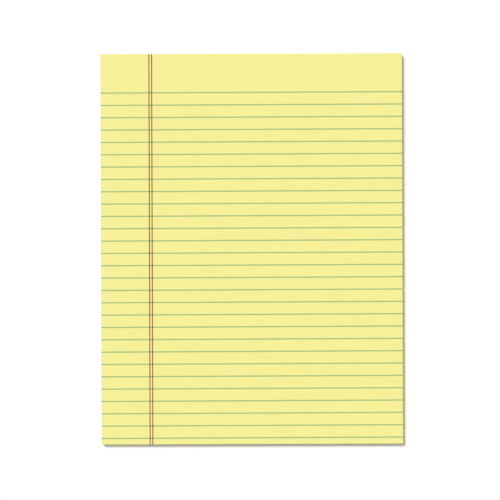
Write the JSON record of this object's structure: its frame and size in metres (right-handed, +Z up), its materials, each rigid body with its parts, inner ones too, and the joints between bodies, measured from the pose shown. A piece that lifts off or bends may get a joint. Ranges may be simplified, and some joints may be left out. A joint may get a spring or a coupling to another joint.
{
  "type": "legal pad",
  "caption": "Letter-size pad of yellow ruled writing paper with a double margin line, glued along its head and backed with chipboard, lying flat.",
  "frame": {"origin": "middle of the outline's box on the face that the pad lies on, with the glue film counted in the outline", "axes": "+X across the page to its right edge, +Y from the foot of the page to its glued head, +Z up out of the top sheet"},
  "size_m": [0.216, 0.2798, 0.0052],
  "materials": {
    "canary_paper": "uncoated writing paper, canary yellow, printed with blue-green rules and a red double margin line",
    "chipboard": "unbleached grey-brown recycled board",
    "padding_glue": "dried clear-drying padding glue, smooth and slightly rubbery"
  },
  "bodies": {
    "root": {"ruled_sheets": "canary_paper", "backing_board": "chipboard", "glue_strip": "padding_glue"}
  },
  "joints": []
}
